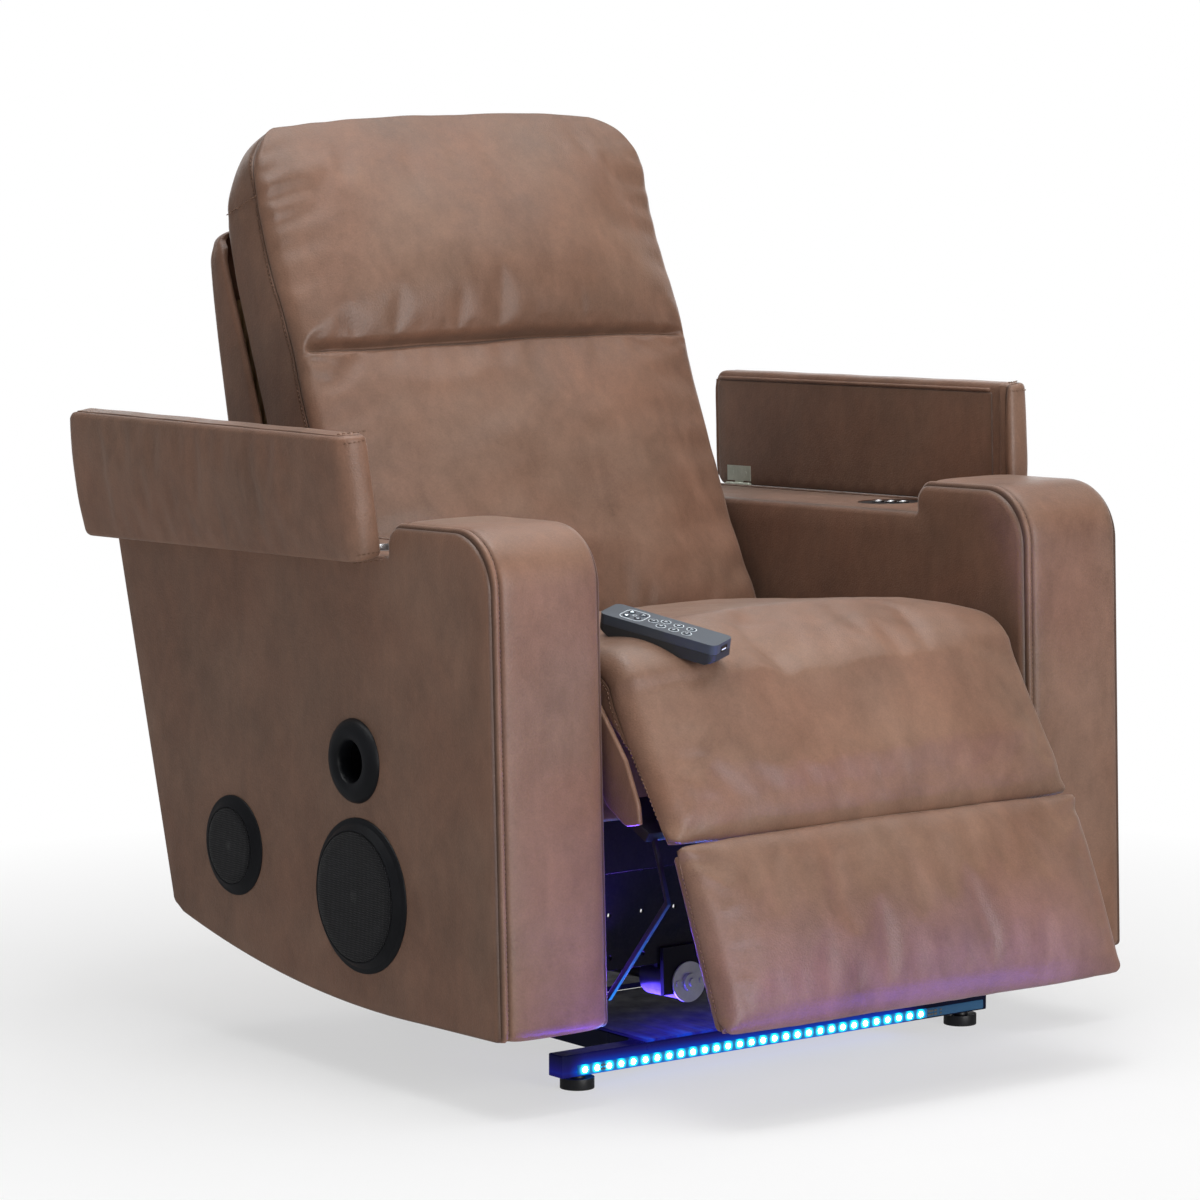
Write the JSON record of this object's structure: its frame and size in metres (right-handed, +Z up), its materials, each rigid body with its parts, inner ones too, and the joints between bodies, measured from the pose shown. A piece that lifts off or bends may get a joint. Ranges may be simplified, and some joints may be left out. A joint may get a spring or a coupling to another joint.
{
  "type": "power recliner",
  "caption": "Leather power recliner with lidded arms, built-in speakers, light bar, tilting headrest and a loose handset.",
  "frame": {"origin": "on the floor, under the middle of the whole object's box", "axes": "+Z up, -Y the way the sitter faces, +X towards the sitter's left arm"},
  "size_m": [0.9918, 0.9826, 1.0338],
  "materials": {
    "leather": "brown mottled faux nubuck, matte, tone-on-tone topstitch",
    "lining_leather": "brown faux leather glued over a board",
    "frame_wood": "bare engineered wood",
    "black_steel": "black semi-gloss paint",
    "spring_steel": "plain wire",
    "hinge_steel": "zinc plated",
    "motor_metal": "die cast",
    "nut_plastic": "natural nylon",
    "led": "lit cold white and cyan",
    "cup_steel": "spun steel",
    "button_chrome": "polished",
    "handset_key": "soft keys with pale outlines",
    "handset_grey": "fine texture",
    "handset_dark": "fine texture",
    "speaker_ring": "satin blue-black",
    "grille_cloth": "stretched acoustic cloth",
    "black_plastic": "moulded"
  },
  "bodies": {
    "base": {"base_frame": "black_steel", "front_pan": "black_steel", "led_strip": "led", "glide_feet": "black_plastic", "tilt_brackets": "black_steel"},
    "body": {"mechanism_frame": "black_steel", "seat_rails": "frame_wood", "seat_springs": "spring_steel", "seat_cushion": "leather", "rear_skirt": "leather", "arm_right_carcass": "frame_wood", "arm_right_side_panel": "leather", "arm_right_front_cap": "leather", "arm_right_shelf": "leather", "arm_left_carcass": "frame_wood", "arm_left_side_panel": "leather", "arm_left_front_cap": "leather", "arm_left_shelf": "leather", "cup_holder": "cup_steel", "control_panel": "black_plastic", "speaker_rings": "speaker_ring", "speaker_grilles": "grille_cloth", "speaker_drivers": "black_plastic", "bass_ports": "black_plastic", "lid_hinge_bases": "hinge_steel", "actuators": "motor_metal", "electronics_boxes": "black_plastic"},
    "lid_right": {"lid_right_board": "lining_leather", "lid_right_pad": "leather", "lid_right_leaves": "hinge_steel"},
    "lid_left": {"lid_left_board": "lining_leather", "lid_left_pad": "leather", "lid_left_leaves": "hinge_steel"},
    "footrest": {"footrest_arms": "black_steel", "chaise_pad": "leather"},
    "ottoman": {"footrest_board": "lining_leather", "footrest_pad": "leather"},
    "footrest_drive": {"footrest_nut": "nut_plastic"},
    "recline_drive": {"recline_nut": "nut_plastic"},
    "back": {"back_frame": "frame_wood", "outside_back": "leather", "back_cushion": "leather"},
    "headrest": {"headrest_frame": "black_steel", "headrest_cushion": "leather"},
    "handset": {"handset_top_shell": "handset_grey", "handset_bottom_shell": "handset_dark"},
    "shelf_button_1": {"panel_button_1": "button_chrome"},
    "shelf_button_2": {"panel_button_2": "button_chrome"},
    "shelf_button_3": {"panel_button_3": "button_chrome"},
    "key_1": {"handset_button_1": "handset_key"},
    "key_2": {"handset_button_2": "handset_key"},
    "key_3": {"handset_button_3": "handset_key"},
    "key_4": {"handset_button_4": "handset_key"},
    "key_5": {"handset_button_5": "handset_key"},
    "key_6": {"handset_button_6": "handset_key"},
    "key_7": {"handset_button_7": "handset_key"},
    "key_8": {"handset_button_8": "handset_key"},
    "key_9": {"handset_button_9": "handset_key"},
    "key_10": {"handset_button_10": "handset_key"},
    "key_11": {"handset_button_11": "handset_key"}
  },
  "joints": [
    {"name": "body_tilt", "type": "hinge", "parent": "base", "child": "body", "pos_m": [0.00836, 0.07287, 0.17014], "axis": [-1, 0, 0], "range_deg": [-1.9, 7]},
    {"name": "back_recline", "type": "hinge", "parent": "body", "child": "back", "pos_m": [0.00836, 0.25324, 0.2961], "axis": [-1, 0, 0], "range_deg": [-3, 38]},
    {"name": "headrest_tilt", "type": "hinge", "parent": "back", "child": "headrest", "pos_m": [0.00836, 0.44551, 0.86192], "axis": [1, 0, 0], "range_deg": [0, 25]},
    {"name": "footrest_swing", "type": "hinge", "parent": "body", "child": "footrest", "pos_m": [0.00836, -0.25677, 0.42244], "axis": [-1, 0, 0], "range_deg": [-20, 42]},
    {"name": "ottoman_fold", "type": "hinge", "parent": "footrest", "child": "ottoman", "pos_m": [0.00836, -0.39337, 0.28899], "axis": [-1, 0, 0], "range_deg": [-5.1, 10.6]},
    {"name": "footrest_nut_travel", "type": "slide", "parent": "body", "child": "footrest_drive", "axis": [0, -0.9994, 0.0339], "range_m": [-0.0352, 0.0735]},
    {"name": "recline_nut_travel", "type": "slide", "parent": "body", "child": "recline_drive", "axis": [0, -0.9994, 0.0339], "range_m": [-0.0065, 0.08]},
    {"name": "lid_right_hinge", "type": "hinge", "parent": "body", "child": "lid_right", "pos_m": [-0.44114, 0.15263, 0.57517], "axis": [0, 0.9994, -0.0339], "range_deg": [0, 97]},
    {"name": "lid_left_hinge", "type": "hinge", "parent": "body", "child": "lid_left", "pos_m": [0.45786, 0.15263, 0.57517], "axis": [0, -0.9994, 0.0339], "range_deg": [0, 90]},
    {"name": "handset_lift", "type": "slide", "parent": "body", "child": "handset", "axis": [0, 0, 1], "range_m": [0, 0.3]},
    {"name": "shelf_button_1_press", "type": "slide", "parent": "body", "child": "shelf_button_1", "axis": [0, -0.0339, -0.9994], "range_m": [0, 0.0012], "stiffness_N_per_m": 250},
    {"name": "shelf_button_2_press", "type": "slide", "parent": "body", "child": "shelf_button_2", "axis": [0, -0.0339, -0.9994], "range_m": [0, 0.0012], "stiffness_N_per_m": 250},
    {"name": "shelf_button_3_press", "type": "slide", "parent": "body", "child": "shelf_button_3", "axis": [0, -0.0339, -0.9994], "range_m": [0, 0.0012], "stiffness_N_per_m": 250},
    {"name": "key_1_press", "type": "slide", "parent": "handset", "child": "key_1", "axis": [0.0579, 0.2371, -0.9698], "range_m": [0, 0.0009], "stiffness_N_per_m": 250},
    {"name": "key_2_press", "type": "slide", "parent": "handset", "child": "key_2", "axis": [0.0579, 0.2371, -0.9698], "range_m": [0, 0.0009], "stiffness_N_per_m": 250},
    {"name": "key_3_press", "type": "slide", "parent": "handset", "child": "key_3", "axis": [0.0579, 0.2371, -0.9698], "range_m": [0, 0.0009], "stiffness_N_per_m": 250},
    {"name": "key_4_press", "type": "slide", "parent": "handset", "child": "key_4", "axis": [0.0579, 0.2371, -0.9698], "range_m": [0, 0.0009], "stiffness_N_per_m": 250},
    {"name": "key_5_press", "type": "slide", "parent": "handset", "child": "key_5", "axis": [0.0579, 0.2371, -0.9698], "range_m": [0, 0.0009], "stiffness_N_per_m": 250},
    {"name": "key_6_press", "type": "slide", "parent": "handset", "child": "key_6", "axis": [0.0579, 0.2371, -0.9698], "range_m": [0, 0.0009], "stiffness_N_per_m": 250},
    {"name": "key_7_press", "type": "slide", "parent": "handset", "child": "key_7", "axis": [0.0579, 0.2371, -0.9698], "range_m": [0, 0.0009], "stiffness_N_per_m": 250},
    {"name": "key_8_press", "type": "slide", "parent": "handset", "child": "key_8", "axis": [0.0579, 0.2371, -0.9698], "range_m": [0, 0.0009], "stiffness_N_per_m": 250},
    {"name": "key_9_press", "type": "slide", "parent": "handset", "child": "key_9", "axis": [0.0579, 0.2371, -0.9698], "range_m": [0, 0.0009], "stiffness_N_per_m": 250},
    {"name": "key_10_press", "type": "slide", "parent": "handset", "child": "key_10", "axis": [0.0579, 0.2371, -0.9698], "range_m": [0, 0.0009], "stiffness_N_per_m": 250},
    {"name": "key_11_press", "type": "slide", "parent": "handset", "child": "key_11", "axis": [0.0579, 0.2371, -0.9698], "range_m": [0, 0.0009], "stiffness_N_per_m": 250}
  ],
  "couplings": [
    {"joint": "ottoman_fold", "follows": "footrest_swing", "ratio": 0.25},
    {"joint": "footrest_nut_travel", "follows": "footrest_swing", "m_per_rad": 0.1},
    {"joint": "recline_nut_travel", "follows": "back_recline", "m_per_rad": 0.12}
  ]
}
